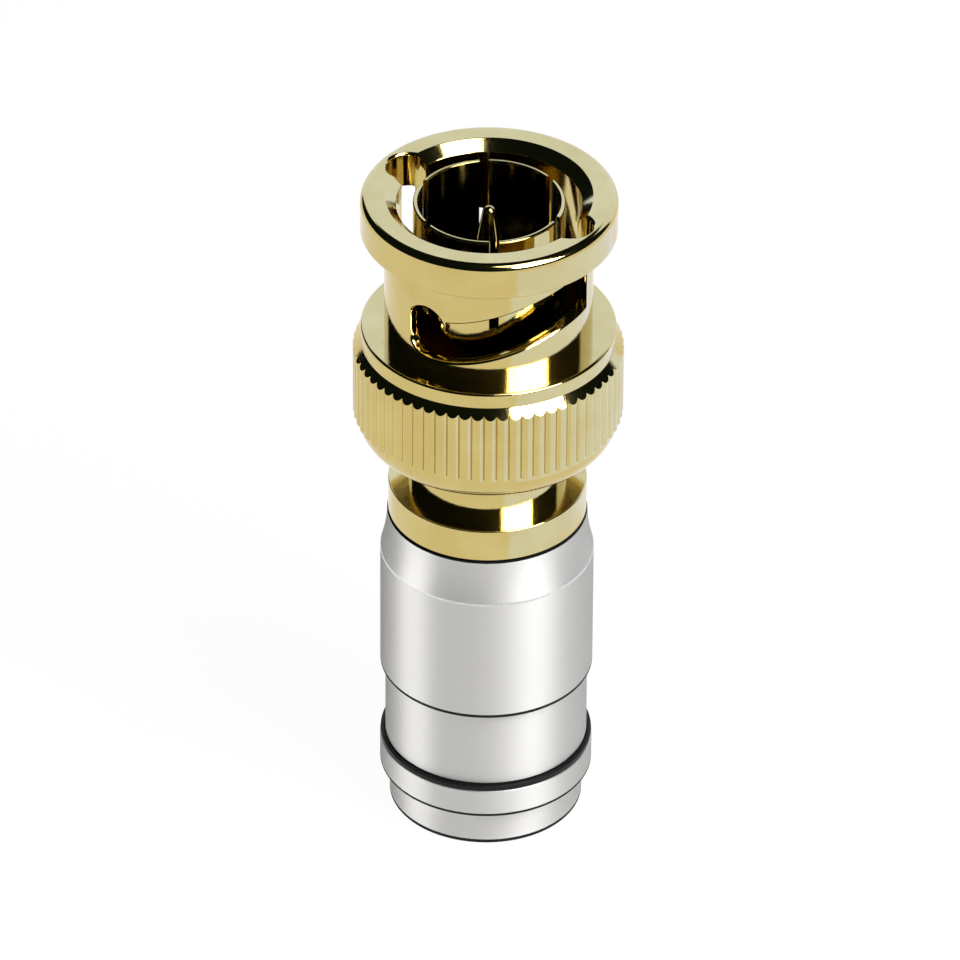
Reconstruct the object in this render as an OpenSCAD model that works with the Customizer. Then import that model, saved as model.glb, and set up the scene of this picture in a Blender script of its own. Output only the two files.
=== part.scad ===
// Male bayonet (BNC) coaxial plug of the compression type, standing on its cable end.
// +Z runs from the cable end to the mating face, and the origin is the centre of the rear face.
// Lengths are in millimetres. Lengths along Z are stacked from the rear face forwards.

/* [Compression sleeve] */
// Length of the rear spigot, behind the collar
spigot_len = 2.2; // [1:0.1:3]
// Diameter of the rear spigot
spigot_d = 10.5; // [9.6:0.1:11]
// Length of the collar that the compression tool pushes on
collar_len = 1.7; // [1:0.05:3]
// Height of the collar above the sleeve's tube
collar_h = 0.29; // [0.27:0.01:0.5]
// Outer diameter of the sleeve's tube
sleeve_d = 10.98; // [10.7:0.02:11.1]
// Length of the sleeve's tube that is already inside the shell
sleeve_overlap = 1.85; // [1.5:0.05:3]
// Height of the shoulder that the seal rests on, inside the entry
entry_step = 1.15; // [1.1:0.05:1.2]
// Length of the cable entry bore
entry_len = 4; // [3:0.1:4.2]
// Wall of the sleeve's tube
sleeve_wall = 0.84; // [0.76:0.02:0.9]
// Thickness of the coloured ring that shows when the sleeve is home
ring_t = 0.3; // [0.2:0.05:0.6]
// Height of the coloured ring above the sleeve's tube
ring_h = 0.26; // [0.1:0.02:0.3]
// Distance that the sleeve is pressed into the shell
press_travel = 4.5; // [3:0.1:5]

/* [Cable seal, ferrule and O-rings] */
// Thickness of the cable seal between its bore and the sleeve
seal_wall = 0.78; // [0.7:0.02:0.9]
// Length of the cable seal
seal_len = 1.2; // [0.8:0.1:1.3]
// Wall of the grip ferrule
ferrule_wall = 0.73; // [0.65:0.02:0.9]
// Length of the grip ferrule
ferrule_len = 4.2; // [3:0.1:4.4]
// Section diameter of the O-rings
oring_section = 0.46; // [0.4:0.02:0.5]
// Distance of the sleeve's O-ring behind the sleeve's front end
sleeve_oring_back = 0.7; // [0.6:0.05:1]
// Distance of the body's O-ring from the end of the spigot inside the shell
body_oring_in = 1.2; // [0.8:0.05:2]

/* [Shell] */
// Length of the shell
shell_len = 10.15; // [9:0.05:12]
// Wall of the shell round the sleeve
shell_wall = 0.24; // [0.2:0.01:0.4]
// Distance that the flare narrows the shell towards its front rim
flare_in = 0.37; // [0.3:0.01:0.42]
// Wall of the shell at its front rim, round the body's spigot
shell_rim_wall = 0.45; // [0.3:0.05:0.5]
// Length of the hollow flare behind the rim
flare_len = 2.6; // [2:0.1:3.2]
// Length of the body spigot inside the shell
seat_len = 3.7; // [3.4:0.05:4]

/* [Body] */
// Diameter of the band in front of the shell
band_d = 10.7; // [10.4:0.02:11]
// Length of the band
band_len = 1.9; // [1.2:0.05:3]
// Radius of the fillet between band and neck
journal_fillet = 0.1; // [0.1:0.05:0.5]
// Length of neck between the band and the coupling nut
journal_gap = 3.2; // [2:0.1:5]
// Length of the body's front spigot
socket_len = 2.7; // [2:0.1:3]
// Bore that holds the insulators
insulator_d = 5.8; // [5.4:0.05:6]
// Bore that holds the post's head
post_head_d = 6.6; // [6.2:0.05:7]
// Depth of the post's bore from the body's rear end
post_seat_len = 6.2; // [5:0.1:6.5]

/* [Post] */
// Bore of the post, round the cable's dielectric
post_bore = 4.7; // [4:0.05:4.8]
// Outer diameter of the post's tube
post_d = 5.2; // [5.1:0.05:5.6]
// Height of the barbs on the post
barb_h = 0.25; // [0.1:0.05:0.3]
// Number of barbs
barbs = 3; // [1:1:4]
// Length of one barb
barb_len = 0.9; // [0.6:0.05:1.1]
// Length of the post's tube behind its head
post_tube_len = 9.1; // [7:0.1:9.4]

/* [Coupling nut] */
// Diameter over the knurl
grip_d = 14.5; // [14:0.05:16]
// Length of the knurl
grip_len = 3.95; // [2.5:0.05:5]
// Number of knurl grooves
grooves = 66; // [48:1:90]
// Depth of the knurl grooves
groove_depth = 0.15; // [0.1:0.01:0.3]
// Length of the chamfer in front of the knurl
grip_chamfer = 0.55; // [0.4:0.05:1]
// Length of the smooth taper behind the knurl
taper_len = 1.35; // [1.2:0.05:2]
// Wall of the nut at its rear edge
rear_wall = 0.45; // [0.4:0.05:0.6]
// Height of the knurl above the shoulder
grip_step = 0.42; // [0.3:0.01:0.5]
// Length of the shoulder's rim
shoulder_len = 0.85; // [0.4:0.05:1.5]
// Diameter of the bayonet neck
neck_d = 11.14; // [10.9:0.02:11.5]
// Length of the bayonet neck
neck_len = 6.1; // [6:0.05:8]
// Radius of the fillet at the foot of the neck
neck_fillet = 0.1; // [0.1:0.05:0.6]
// Diameter of the front flange
flange_d = 13.7; // [13.3:0.02:14.2]
// Thickness of the front flange
flange_t = 2.05; // [1.5:0.05:2.4]
// Rounding of the front flange's rim
flange_round = 0.42; // [0.1:0.02:0.6]
// Bore round the mating barrel
nut_bore = 9.86; // [9.8:0.02:9.9]
// Diameter of the lead-in at the front face
lead_d = 11.06; // [10.6:0.02:11.4]
// Depth of the lead-in
lead_len = 0.52; // [0.3:0.02:0.8]
// Wall of the nut at the knurl, round the chamber behind the bore
grip_wall = 1.2; // [1.1:0.05:1.2]

/* [Bayonet slots] */
// Diameter of the entry notches for the mating studs
notch_d = 2.4; // [2.2:0.05:2.5]
// Distance of the notches' centres from the axis
notch_offset = 5.1; // [4.9:0.05:5.2]
// Depth of the entry notches below the front face
notch_depth = 5.75; // [5.4:0.05:5.8]
// Width of the cam slots
slot_w = 2.4; // [2.2:0.02:2.46]
// Depth of a cam slot's middle line at its notch
cam_start = 4.42; // [4.2:0.02:4.6]
// Distance that the cam slot falls on its way to the detent
cam_drop = 1.7; // [1.2:0.02:1.74]
// Turn from the notch to the detent, in degrees
cam_turn = 93.5; // [80:0.5:110]
// Depth of the detent's centre below the front face
detent_depth = 5.42; // [4.8:0.02:5.5]
// Angle of the first notch about the axis, in degrees
nut_angle = 0; // [-180:1:180]

/* [Retaining parts in the nut] */
// Length of the nut behind its snap ring
rear_lip = 1.35; // [0.8:0.05:1.6]
// Thickness of the snap ring
snap_t = 0.56; // [0.4:0.02:0.7]
// Width of the snap ring inside its groove
snap_w = 0.85; // [0.7:0.05:1]
// Depth of the snap ring's groove
snap_groove = 0.35; // [0.2:0.05:0.4]
// Gap between the snap ring's ends, in degrees
snap_gap = 30; // [10:1:60]
// Width of the thrust washer between the neck and the nut
washer_w = 1.72; // [1.5:0.02:1.8]
// Thickness of the thrust washer
washer_t = 0.45; // [0.3:0.05:0.6]
// Room for the wave springs at rest
spring_room = 0.9; // [0.9:0.05:1.2]
// Thickness of a wave spring's strip
spring_t = 0.12; // [0.08:0.01:0.14]
// Number of waves round a spring
waves = 3; // [2:1:5]

/* [Outer contact] */
// Diameter of the outer contact
contact_d = 8.1; // [8:0.02:8.2]
// Wall of the contact's fingers
contact_wall = 0.25; // [0.2:0.01:0.35]
// Step inside the contact that stops it on the body's front spigot
contact_step = 0.25; // [0.2:0.01:0.3]
// Distance of the contact's rim behind the nut's front face
contact_recess = 0.35; // [0.1:0.05:1.5]
// Number of slots in the contact
contact_slots = 6; // [2:1:8]
// Angle of the contact's first slot about the axis, in degrees
contact_angle = 7; // [0:1:59]
// Width of a contact slot
contact_slot_w = 0.52; // [0.3:0.02:0.8]
// Length of the contact slots
contact_slot_len = 5.6; // [4:0.1:6.5]
// Thickness of the contact's retaining flange
contact_flange_t = 1.2; // [0.8:0.05:1.3]
// Length of the front gasket
gasket_len = 1.3; // [0.8:0.05:1.6]
// Depth of the gasket's groove in the contact
gasket_groove = 0.2; // [0.16:0.01:0.25]

/* [Centre pin and insulators] */
// Diameter of the centre pin
pin_d = 1.34; // [1.2:0.01:1.4]
// Diameter of the pin inside the front insulator
pin_root_d = 1.7; // [1.66:0.02:1.8]
// Diameter of the pin's nose
pin_nose_d = 0.74; // [0.6:0.02:0.9]
// Length of the pin's taper and nose
pin_nose_len = 1.9; // [1:0.1:2.5]
// Distance of the pin's tip behind the nut's front face
pin_recess = 0.7; // [0.5:0.05:1.5]
// Diameter of the pin's shoulder
pin_shoulder_d = 2.1; // [1.8:0.05:2.4]
// Length of the pin's shoulder
pin_shoulder_len = 1; // [0.6:0.05:1.5]
// Outer diameter of the pin's collet
collet_d = 1.8; // [1.5:0.05:2]
// Bore of the pin's collet
collet_bore = 1; // [0.8:0.02:1.1]
// Length of the pin's collet
collet_len = 2.9; // [2:0.1:3.2]
// Length of the front insulator
front_insulator_len = 4.3; // [3.5:0.1:4.5]
// Length of the rear insulator
rear_insulator_len = 2.5; // [2:0.1:2.6]

/* [Clearances] */
// Radial clearance of parts that turn or slide on each other
run_gap = 0.04; // [0.02:0.01:0.08]
// Clearance of parts that are pressed or seated together
fit_gap = 0.02; // [0.01:0.005:0.03]
// Gap that stays between the ring and the shell when the sleeve is home
stop_gap = 0.1; // [0.05:0.01:0.3]

/* [Hidden] */
$fn = 96;

gold = "#d2c080";
nickel = "#c3c4c7";
plastic = "#2a2a2b";
black = "#161617";
silicone = "#b4532f";
spring_steel = "#9a9ca0";

// Heights of the faces along the plug
collar_z = spigot_len;
ring_z = collar_z + collar_len;
tube_z = ring_z + ring_t;
shell_z = tube_z + press_travel + stop_gap;
sleeve_top = shell_z + sleeve_overlap;
band_z = shell_z + shell_len;
seat_z = band_z - seat_len;
journal_z = band_z + band_len;
nut_z = journal_z + journal_gap;
grip_z = nut_z + taper_len;
grip_top = grip_z + grip_len;
rim_z = grip_top + grip_chamfer;
shoulder_z = rim_z + shoulder_len;
flange_z = shoulder_z + neck_len;
front_z = flange_z + flange_t;
snap_z = nut_z + rear_lip + fit_gap;
washer_z = snap_z + snap_t + fit_gap;
spring_z = washer_z + washer_t;
contact_z = spring_z + spring_room;
gasket_z = contact_z + contact_flange_t;
ledge_z = gasket_z + run_gap;
contact_top = front_z - contact_recess;
pin_top = front_z - pin_recess;

// Seats inside the body, from the front spigot's end backwards
socket_top = contact_z + socket_len;
front_insulator_z = socket_top - front_insulator_len;
rear_insulator_z = front_insulator_z - rear_insulator_len - fit_gap;
post_head_z = seat_z + post_seat_len;
guide_z = post_head_z + fit_gap;
guide_len = rear_insulator_z - fit_gap - guide_z;
post_head_len = post_seat_len - 2 * fit_gap;

// Diameters and radii that follow from their neighbours and clearances
collar_d = sleeve_d + 2 * collar_h;
ring_d = sleeve_d + 2 * ring_h;
sleeve_bore = sleeve_d - 2 * sleeve_wall;
seal_bore = sleeve_bore - 2 * (fit_gap + seal_wall);
ferrule_bore = sleeve_bore - 2 * (fit_gap + ferrule_wall);
entry_d = sleeve_bore - 2 * entry_step;
shell_bore_r = sleeve_d / 2 + run_gap;
shell_d = 2 * (shell_bore_r + shell_wall);
shell_rim_d = shell_d - 2 * flare_in;
seat_d = shell_rim_d - 2 * shell_rim_wall;
socket_d = contact_d - 2 * (contact_wall + contact_step);
chamber_d = grip_d - 2 * grip_wall;
journal_d = chamber_d - 2 * (washer_w + 2 * run_gap);
rear_d = chamber_d + 2 * rear_wall;
shoulder_d = grip_d - 2 * grip_step;
snap_id = chamber_d - 2 * snap_w;
groove_r = chamber_d / 2 + snap_groove;
oring_space = oring_section + 2 * fit_gap;

// Points of an arc about a centre, from angle a0 to a1
function arc(cx, cy, r, a0, a1, steps = 8) =
    [for (i = [0:steps]) let (a = a0 + (a1 - a0) * i / steps) [cx + r * cos(a), cy + r * sin(a)]];

// A point at a radius, an angle and a height
function polar(r, a, z) = [r * cos(a), r * sin(a), z];

// Ring or tube between two radii
module tube(r_in, r_out, z0, z1) {
    rotate_extrude()
        translate([r_in, z0])
            square([r_out - r_in, z1 - z0]);
}

// Ring with round edges, for seals
module soft_ring(r_in, r_out, z0, z1, edge) {
    rotate_extrude()
        polygon(concat(
            arc(r_out - edge, z0 + edge, edge, -90, 0, 4),
            arc(r_out - edge, z1 - edge, edge, 0, 90, 4),
            arc(r_in + edge, z1 - edge, edge, 90, 180, 4),
            arc(r_in + edge, z0 + edge, edge, 180, 270, 4)));
}

// O-ring that lies on a groove's floor
module oring(floor_r, z) {
    rotate_extrude()
        translate([floor_r + fit_gap + oring_section / 2, z])
            circle(d = oring_section, $fn = 32);
}

// Solid through sections that each have the same number of points
module skin(sections, closed = false) {
    n = len(sections);
    m = len(sections[0]);
    sides = [for (i = [0:closed ? n - 1 : n - 2], j = [0:m - 1], half = [0, 1])
        let (k = (i + 1) % n, l = (j + 1) % m)
        half == 0 ? [i * m + j, i * m + l, k * m + l] : [i * m + j, k * m + l, k * m + j]];
    caps = closed ? [] : [[for (j = [m - 1:-1:0]) j], [for (j = [0:m - 1]) (n - 1) * m + j]];
    polyhedron([for (s = sections) each s], concat(sides, caps));
}

// Body: front spigot, neck, fillet, band, and the spigot inside the shell
body_oring_z = seat_z + body_oring_in;
module main_body() {
    color(gold) rotate_extrude() polygon(concat(
        [[post_head_d / 2, seat_z],
         [seat_d / 2, seat_z],
         [seat_d / 2, body_oring_z - oring_space / 2],
         [seat_d / 2 - oring_space, body_oring_z - oring_space / 2],
         [seat_d / 2 - oring_space, body_oring_z + oring_space / 2],
         [seat_d / 2, body_oring_z + oring_space / 2],
         [seat_d / 2, band_z],
         [band_d / 2, band_z],
         [band_d / 2, journal_z]],
        arc(journal_d / 2 + journal_fillet, journal_z + journal_fillet, journal_fillet, 270, 180),
        [[journal_d / 2, contact_z - fit_gap],
         [socket_d / 2, contact_z - fit_gap],
         [socket_d / 2, socket_top],
         [insulator_d / 2, socket_top],
         [insulator_d / 2, post_head_z],
         [post_head_d / 2, post_head_z]]));
}

// Shell: front seat on the body, hollow flare, cylinder, and the bore that the sleeve slides in
module shell() {
    // the flare is an arc that leaves the rim parallel to the axis
    flare_r = (flare_len * flare_len + flare_in * flare_in) / (2 * flare_in);
    flare_angle = asin(flare_len / flare_r);
    seat_r = seat_d / 2 + fit_gap;
    color(nickel) rotate_extrude() polygon(concat(
        [[shell_bore_r, shell_z],
         [shell_d / 2, shell_z]],
        arc(shell_rim_d / 2 + flare_r, band_z - fit_gap, flare_r, 180 + flare_angle, 180),
        [[seat_r, band_z - fit_gap],
         [seat_r, seat_z],
         [shell_bore_r, seat_z]]));
}

// Seal between body and shell
module body_oring() {
    color(black) oring(seat_d / 2 - oring_space, body_oring_z);
}

// Post: head pressed in the body, tube and barbs that go under the cable's braid
module post() {
    head_z = post_head_z - fit_gap - post_head_len;
    tail_z = head_z - post_tube_len;
    color(nickel) rotate_extrude() polygon(concat(
        [[post_bore / 2, tail_z],
         [post_d / 2, tail_z]],
        [for (i = [0:barbs - 1]) each [
            [post_d / 2 + barb_h, tail_z + (i + 0.9) * barb_len],
            [post_d / 2, tail_z + (i + 1) * barb_len]]],
        [[post_d / 2, head_z],
         [post_head_d / 2 - fit_gap, head_z],
         [post_head_d / 2 - fit_gap, head_z + post_head_len],
         [post_bore / 2, head_z + post_head_len]]));
}

// Guide that leads the cable's conductor into the pin
module pin_guide() {
    throat = 0.35;
    color(plastic) rotate_extrude() polygon([
        [post_bore / 2 - fit_gap, guide_z],
        [insulator_d / 2 - fit_gap, guide_z],
        [insulator_d / 2 - fit_gap, guide_z + guide_len],
        [collet_bore / 2, guide_z + guide_len],
        [collet_bore / 2, guide_z + guide_len - throat]]);
}

// Insulator round the pin's collet
module rear_insulator() {
    color(plastic) tube(collet_d / 2 + fit_gap, insulator_d / 2 - fit_gap, rear_insulator_z,
        rear_insulator_z + rear_insulator_len);
}

// Insulator round the pin, with a counterbore for the pin's shoulder
module front_insulator() {
    shoulder_top = front_insulator_z + pin_shoulder_len + fit_gap;
    color(plastic) rotate_extrude() polygon([
        [pin_shoulder_d / 2 + fit_gap, front_insulator_z],
        [insulator_d / 2 - fit_gap, front_insulator_z],
        [insulator_d / 2 - fit_gap, socket_top],
        [pin_root_d / 2 + fit_gap, socket_top],
        [pin_root_d / 2 + fit_gap, shoulder_top],
        [pin_shoulder_d / 2 + fit_gap, shoulder_top]]);
}

// Centre pin: slit collet, shoulder, pin and tapered nose
module center_pin() {
    collet_z = front_insulator_z + fit_gap - min(collet_len, rear_insulator_len);
    bore_len = 0.8 * min(collet_len, rear_insulator_len);
    slit_w = 0.16;
    nose_r = pin_nose_d / 2;
    color(gold) difference() {
        rotate_extrude() polygon(concat(
            [[0, collet_z + bore_len],
             [collet_bore / 2, collet_z + bore_len],
             [collet_bore / 2, collet_z],
             [collet_d / 2, collet_z],
             [collet_d / 2, front_insulator_z],
             [pin_shoulder_d / 2, front_insulator_z],
             [pin_shoulder_d / 2, front_insulator_z + pin_shoulder_len],
             [pin_root_d / 2, front_insulator_z + pin_shoulder_len],
             [pin_root_d / 2, socket_top],
             [pin_d / 2, socket_top],
             [pin_d / 2, pin_top - pin_nose_len]],
            arc(0, pin_top - nose_r, nose_r, 20, 90, 6)));
        for (a = [0, 90])
            rotate([0, 0, a])
                translate([-collet_d, -slit_w / 2, collet_z - 1])
                    cube([2 * collet_d, slit_w, 1 + bore_len - slit_w]);
    }
}

// Outer contact: retaining flange, socket on the body, and slotted spring fingers
module outer_contact() {
    contact_r = contact_d / 2;
    finger_r = contact_r - contact_wall;
    round_r = 0.4 * contact_wall;
    color(gold) difference() {
        rotate_extrude() polygon(concat(
            [[socket_d / 2 + fit_gap, contact_z],
             [chamber_d / 2 - run_gap, contact_z],
             [chamber_d / 2 - run_gap, gasket_z],
             [contact_r - gasket_groove, gasket_z],
             [contact_r - gasket_groove, gasket_z + gasket_len],
             [contact_r, gasket_z + gasket_len]],
            arc(contact_r - round_r, contact_top - round_r, round_r, 0, 90, 4),
            arc(finger_r + round_r, contact_top - round_r, round_r, 90, 180, 4),
            [[finger_r, socket_top + fit_gap],
             [socket_d / 2 + fit_gap, socket_top + fit_gap]]));
        for (i = [0:contact_slots - 1])
            rotate([0, 0, contact_angle + i * 360 / contact_slots])
                translate([finger_r - 1, -contact_slot_w / 2, contact_top - contact_slot_len])
                    cube([contact_wall + 2, contact_slot_w, contact_slot_len + 1]);
    }
}

// Gasket that seals against the mating barrel
module front_gasket() {
    color(silicone) soft_ring(contact_d / 2 - gasket_groove + fit_gap, nut_bore / 2 - 2 * run_gap, gasket_z,
        gasket_z + gasket_len, 0.15);
}

// Wave springs: two thin waved rings that nest, between the contact's flange and the washer
spring_in = journal_d / 2 + 3 * run_gap;
spring_out = chamber_d / 2 - 4 * run_gap;
spring_pitch = spring_t + fit_gap;
wave_height = (spring_room - 2 * fit_gap - spring_t - spring_pitch) / 2;
module wave_spring(z0) {
    stations = 16 * waves;
    skin([for (i = [0:stations - 1])
        let (a = 360 * i / stations, z = z0 + wave_height * (1 + cos(waves * a)))
        [polar(spring_in, a, z), polar(spring_out, a, z),
         polar(spring_out, a, z + spring_t), polar(spring_in, a, z + spring_t)]], closed = true);
}
module wave_spring_rear() {
    color(spring_steel) wave_spring(spring_z + fit_gap);
}
module wave_spring_front() {
    color(spring_steel) wave_spring(spring_z + fit_gap + spring_pitch);
}

// Washer that carries the springs' push to the snap ring
module thrust_washer() {
    color(nickel) tube(journal_d / 2 + run_gap, chamber_d / 2 - run_gap, washer_z,
        washer_z + washer_t);
}

// Open ring in the nut's groove
module snap_ring() {
    color(spring_steel) rotate([0, 0, nut_angle + snap_gap / 2])
        rotate_extrude(angle = 360 - snap_gap)
            translate([snap_id / 2, snap_z])
                square([groove_r - fit_gap - snap_id / 2, snap_t]);
}

// Outside of the coupling nut before the knurl and the slots are cut
grip_root = grip_d / 2 - groove_depth;
module nut_outside() {
    // the taper behind the knurl is a shallow arc that leaves the knurl's foot parallel to the axis
    taper_top = grip_root - 0.02;
    taper_in = taper_top - rear_d / 2;
    taper_r = (taper_len * taper_len + taper_in * taper_in) / (2 * taper_in);
    taper_angle = asin(taper_len / taper_r);
    // the blank is a little larger than the knurl, whose lobes are cut from it
    spare = 0.05;
    foot_bevel = 0.1;
    blank_r = grip_d / 2 + spare;
    chamfer_slope = grip_chamfer / (grip_d / 2 - shoulder_d / 2);
    rotate_extrude() polygon(concat(
        [[0, nut_z]],
        arc(taper_top - taper_r, grip_z, taper_r, -taper_angle, 0),
        [[grip_d / 2 - foot_bevel, grip_z],
         [blank_r, grip_z + foot_bevel + spare],
         [blank_r, grip_top - spare * chamfer_slope],
         [shoulder_d / 2, rim_z],
         [shoulder_d / 2, shoulder_z]],
        arc(neck_d / 2 + neck_fillet, shoulder_z + neck_fillet, neck_fillet, 270, 180),
        [[neck_d / 2, flange_z],
         [flange_d / 2, flange_z]],
        arc(flange_d / 2 - flange_round, front_z - flange_round, flange_round, 0, 90, 5),
        [[0, front_z]]));
}

// Knurl: lobes, each a shallow arc, that meet in sharp grooves, as one extruded outline
module knurl_outline() {
    pitch = 360 / grooves;
    lobe_points = 4;
    half_chord = PI * grip_d / grooves / 2;
    lobe_r = (half_chord * half_chord + groove_depth * groove_depth) / (2 * groove_depth);
    polygon([for (i = [0:grooves - 1], j = [0:lobe_points - 1])
        let (u = j / lobe_points, across = (2 * u - 1) * half_chord,
             r = grip_d / 2 - lobe_r + sqrt(lobe_r * lobe_r - across * across))
        [r * cos((i + u) * pitch), r * sin((i + u) * pitch)]]);
}

// Cut inside of the nut: lead-in, bore, chamber and snap ring groove
module nut_inside() {
    over = 1;
    rotate_extrude() polygon([
        [0, nut_z - over],
        [chamber_d / 2, nut_z - over],
        [chamber_d / 2, snap_z - fit_gap],
        [groove_r, snap_z - fit_gap],
        [groove_r, washer_z],
        [chamber_d / 2, washer_z],
        [chamber_d / 2, ledge_z],
        [nut_bore / 2, ledge_z],
        [nut_bore / 2, front_z - lead_len],
        [lead_d / 2, front_z],
        [lead_d / 2, front_z + over],
        [0, front_z + over]]);
}

// Cam slot: its edges at turn a from the notch, as depths below the front face
function smooth(t) = t * t * (3 - 2 * t);
function cam_slope(t) = cam_drop * 6 * t * (1 - t) / (cam_turn * PI / 180 * neck_d / 2);
function cam_depth(a) = cam_start + cam_drop * smooth(a / cam_turn);
function cam_half(a) = slot_w / 2 * sqrt(1 + pow(cam_slope(a / cam_turn), 2));
slot_end = slot_w / neck_d * 180 / PI; // turn that half a slot's width takes up
function end_height(a) = slot_w / 2 * sqrt(max(0, 1 - pow((a - cam_turn) / slot_end, 2)));
function upper_edge(a) =
    a < cam_turn - slot_end ? cam_depth(a) - cam_half(a) : detent_depth - end_height(a);
function lower_edge(a) =
    a < cam_turn ? cam_depth(a) + cam_half(a) : cam_start + cam_drop + end_height(a);
module cam_slot() {
    r_in = nut_bore / 2 - 0.6;
    r_out = neck_d / 2 + 0.7;
    run_steps = 18;
    end_steps = 16;
    run = cam_turn - slot_end;
    turns = concat(
        [for (i = [0:end_steps]) cam_turn + slot_end * cos(180 * i / end_steps)],
        [for (i = [run_steps:-1:0]) (run - 0.01) * i / run_steps]);
    skin([for (a = turns)
        let (low = front_z - lower_edge(a), high = front_z - upper_edge(a))
        [polar(r_in, -a, low), polar(r_out, -a, low), polar(r_out, -a, high), polar(r_in, -a, high)]]);
}

// Coupling nut: flange, neck with two entry notches and cam slots, shoulder and knurled grip
module coupling_nut() {
    knurl_phase = 1.3;
    // the knurl's outline starts and stops where the nut is already slimmer than its grooves
    knurl_foot = grip_z - taper_len * 0.2;
    knurl_top = grip_top + grip_chamfer * 0.9;
    blank_r = grip_d / 2 + 1;
    color(gold) rotate([0, 0, nut_angle]) difference() {
        intersection() {
            nut_outside();
            union() {
                translate([0, 0, nut_z - 1])
                    cylinder(r = blank_r, h = knurl_foot - nut_z + 1);
                translate([0, 0, knurl_foot])
                    rotate([0, 0, knurl_phase])
                        linear_extrude(knurl_top - knurl_foot) knurl_outline();
                translate([0, 0, knurl_top])
                    cylinder(r = blank_r, h = front_z - knurl_top + 1);
            }
        }
        nut_inside();
        for (a = [0, 180]) rotate([0, 0, a]) {
            translate([notch_offset, 0, front_z - notch_depth])
                cylinder(d = notch_d, h = notch_depth + 1, $fn = 48);
            cam_slot();
        }
    }
}

// Compression sleeve: rear spigot, collar, and the tube that slides into the shell
sleeve_oring_z = sleeve_top - sleeve_oring_back;
module compression_sleeve() {
    edge = 0.2;
    lead = 0.25;
    groove_floor = shell_bore_r - fit_gap - oring_space;
    color(nickel) rotate_extrude() polygon(concat(
        [[entry_d / 2, 0]],
        arc(spigot_d / 2 - edge, edge, edge, -90, 0, 4),
        [[spigot_d / 2, collar_z],
         [collar_d / 2, collar_z],
         [collar_d / 2, ring_z],
         [sleeve_d / 2, ring_z],
         [sleeve_d / 2, sleeve_oring_z - oring_space / 2],
         [groove_floor, sleeve_oring_z - oring_space / 2],
         [groove_floor, sleeve_oring_z + oring_space / 2],
         [sleeve_d / 2, sleeve_oring_z + oring_space / 2],
         [sleeve_d / 2, sleeve_top - lead],
         [sleeve_d / 2 - lead, sleeve_top],
         [sleeve_bore / 2, sleeve_top],
         [sleeve_bore / 2, entry_len],
         [entry_d / 2, entry_len]]));
}

// Ring that is covered by nothing until the sleeve is home, where it meets the shell
module indicator_ring() {
    color(black) tube(sleeve_d / 2 + fit_gap, ring_d / 2, ring_z, tube_z);
}

// Seal that closes on the cable's jacket
seal_z = entry_len;
module cable_seal() {
    color(black) soft_ring(seal_bore / 2, sleeve_bore / 2 - fit_gap, seal_z, seal_z + seal_len, 0.12);
}

// Ferrule that grips the jacket and braid on the post
module grip_ferrule() {
    ferrule_z = seal_z + seal_len + fit_gap;
    bevel = 0.3;
    color(nickel) rotate_extrude() polygon([
        [ferrule_bore / 2 + bevel, ferrule_z],
        [sleeve_bore / 2 - fit_gap, ferrule_z],
        [sleeve_bore / 2 - fit_gap, ferrule_z + ferrule_len - bevel],
        [sleeve_bore / 2 - fit_gap - bevel, ferrule_z + ferrule_len],
        [ferrule_bore / 2, ferrule_z + ferrule_len],
        [ferrule_bore / 2, ferrule_z + bevel]]);
}

// Seal between sleeve and shell
module sleeve_oring() {
    color(black) oring(shell_bore_r - fit_gap - oring_space, sleeve_oring_z);
}

main_body();
shell();
body_oring();
post();
pin_guide();
rear_insulator();
front_insulator();
center_pin();
outer_contact();
front_gasket();
wave_spring_front();
wave_spring_rear();
thrust_washer();
snap_ring();
coupling_nut();
compression_sleeve();
indicator_ring();
grip_ferrule();
cable_seal();
sleeve_oring();
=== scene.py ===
"""The looks of a male BNC compression plug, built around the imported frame.

Lengths are millimetres, and MM turns them into the frame's metres.
"""

import math

import bmesh
import bpy
import numpy as np
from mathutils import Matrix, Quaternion, Vector

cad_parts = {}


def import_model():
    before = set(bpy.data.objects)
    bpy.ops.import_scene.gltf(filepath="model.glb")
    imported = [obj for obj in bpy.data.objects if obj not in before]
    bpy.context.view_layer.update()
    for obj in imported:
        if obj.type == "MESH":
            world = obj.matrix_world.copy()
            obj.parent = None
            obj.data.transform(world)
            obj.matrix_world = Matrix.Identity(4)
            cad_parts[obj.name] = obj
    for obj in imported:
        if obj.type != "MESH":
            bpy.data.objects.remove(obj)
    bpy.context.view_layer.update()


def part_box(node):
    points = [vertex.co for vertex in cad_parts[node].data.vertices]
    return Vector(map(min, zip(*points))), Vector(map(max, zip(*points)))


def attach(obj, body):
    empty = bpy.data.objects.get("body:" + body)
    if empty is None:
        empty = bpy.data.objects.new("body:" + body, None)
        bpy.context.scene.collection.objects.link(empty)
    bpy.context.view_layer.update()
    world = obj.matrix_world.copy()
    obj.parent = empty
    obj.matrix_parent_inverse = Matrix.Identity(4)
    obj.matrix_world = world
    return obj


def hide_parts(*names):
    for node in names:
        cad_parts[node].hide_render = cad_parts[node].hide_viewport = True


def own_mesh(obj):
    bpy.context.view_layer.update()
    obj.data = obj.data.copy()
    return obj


MM = 0.001
COLUMNS = 384  # columns round a turned part
GROOVES = 66  # knurl grooves
LOBE_STEPS = 8  # columns in one knurl lobe
FILLET_STEP = 15  # degrees of one step round a fillet
REACH_SHARE = 0.49  # share of a stretch that a fillet at its end may take
SHARP_TURN = 25  # degrees that a corner without a fillet turns by before it is shaded as an edge

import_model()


# ---------------------------------------------------------------- sizes from the frame

def low_z(node):
    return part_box(node)[0].z / MM


def high_z(node):
    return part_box(node)[1].z / MM


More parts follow.
